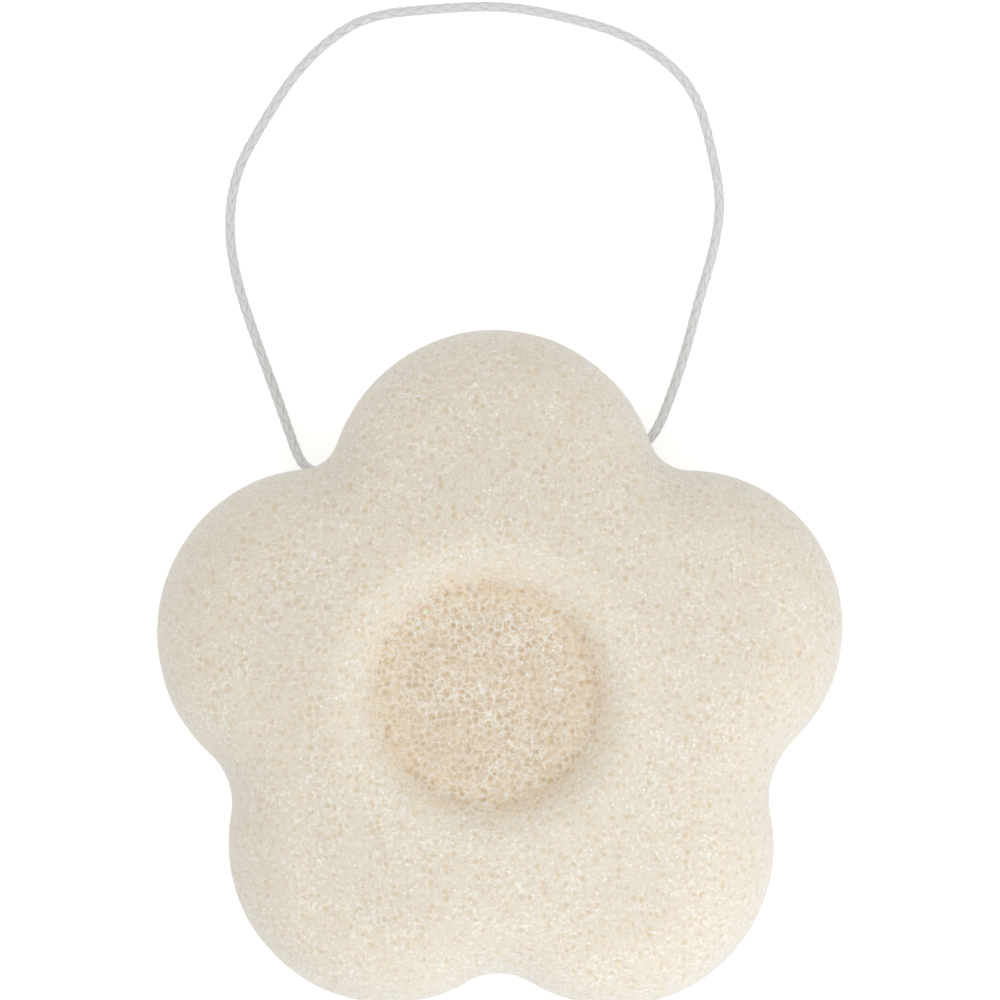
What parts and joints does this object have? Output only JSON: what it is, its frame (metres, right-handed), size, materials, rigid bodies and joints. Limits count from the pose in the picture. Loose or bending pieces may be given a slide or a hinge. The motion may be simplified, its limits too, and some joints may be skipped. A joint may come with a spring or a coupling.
{
  "type": "konjac sponge",
  "caption": "Flower-shaped soft konjac face sponge with rounded petals, a round hollow in its face and a thin cord loop to hang it up to dry.",
  "frame": {"origin": "centre of the five-petal flower, on the flat back that the sponge lies on", "axes": "+Z out of the hollow in the face, +Y towards the petal that the cord is threaded through, +X to the right when looking at the face with that petal up"},
  "size_m": [0.08, 0.1183, 0.0271],
  "materials": {
    "foam": "matte",
    "cord": "matte"
  },
  "bodies": {
    "foam": {"sponge_body": "foam"},
    "cord": {"hanging_cord": "cord", "threaded_cord_left": "cord", "threaded_cord_right": "cord", "closing_knot": "cord"}
  },
  "joints": [
    {"name": "loop_swing", "type": "hinge", "parent": "foam", "child": "cord", "pos_m": [-0.0015, 0.0266, 0.004], "axis": [0.9962, 0.0872, 0], "range_deg": [-120, 95]}
  ]
}
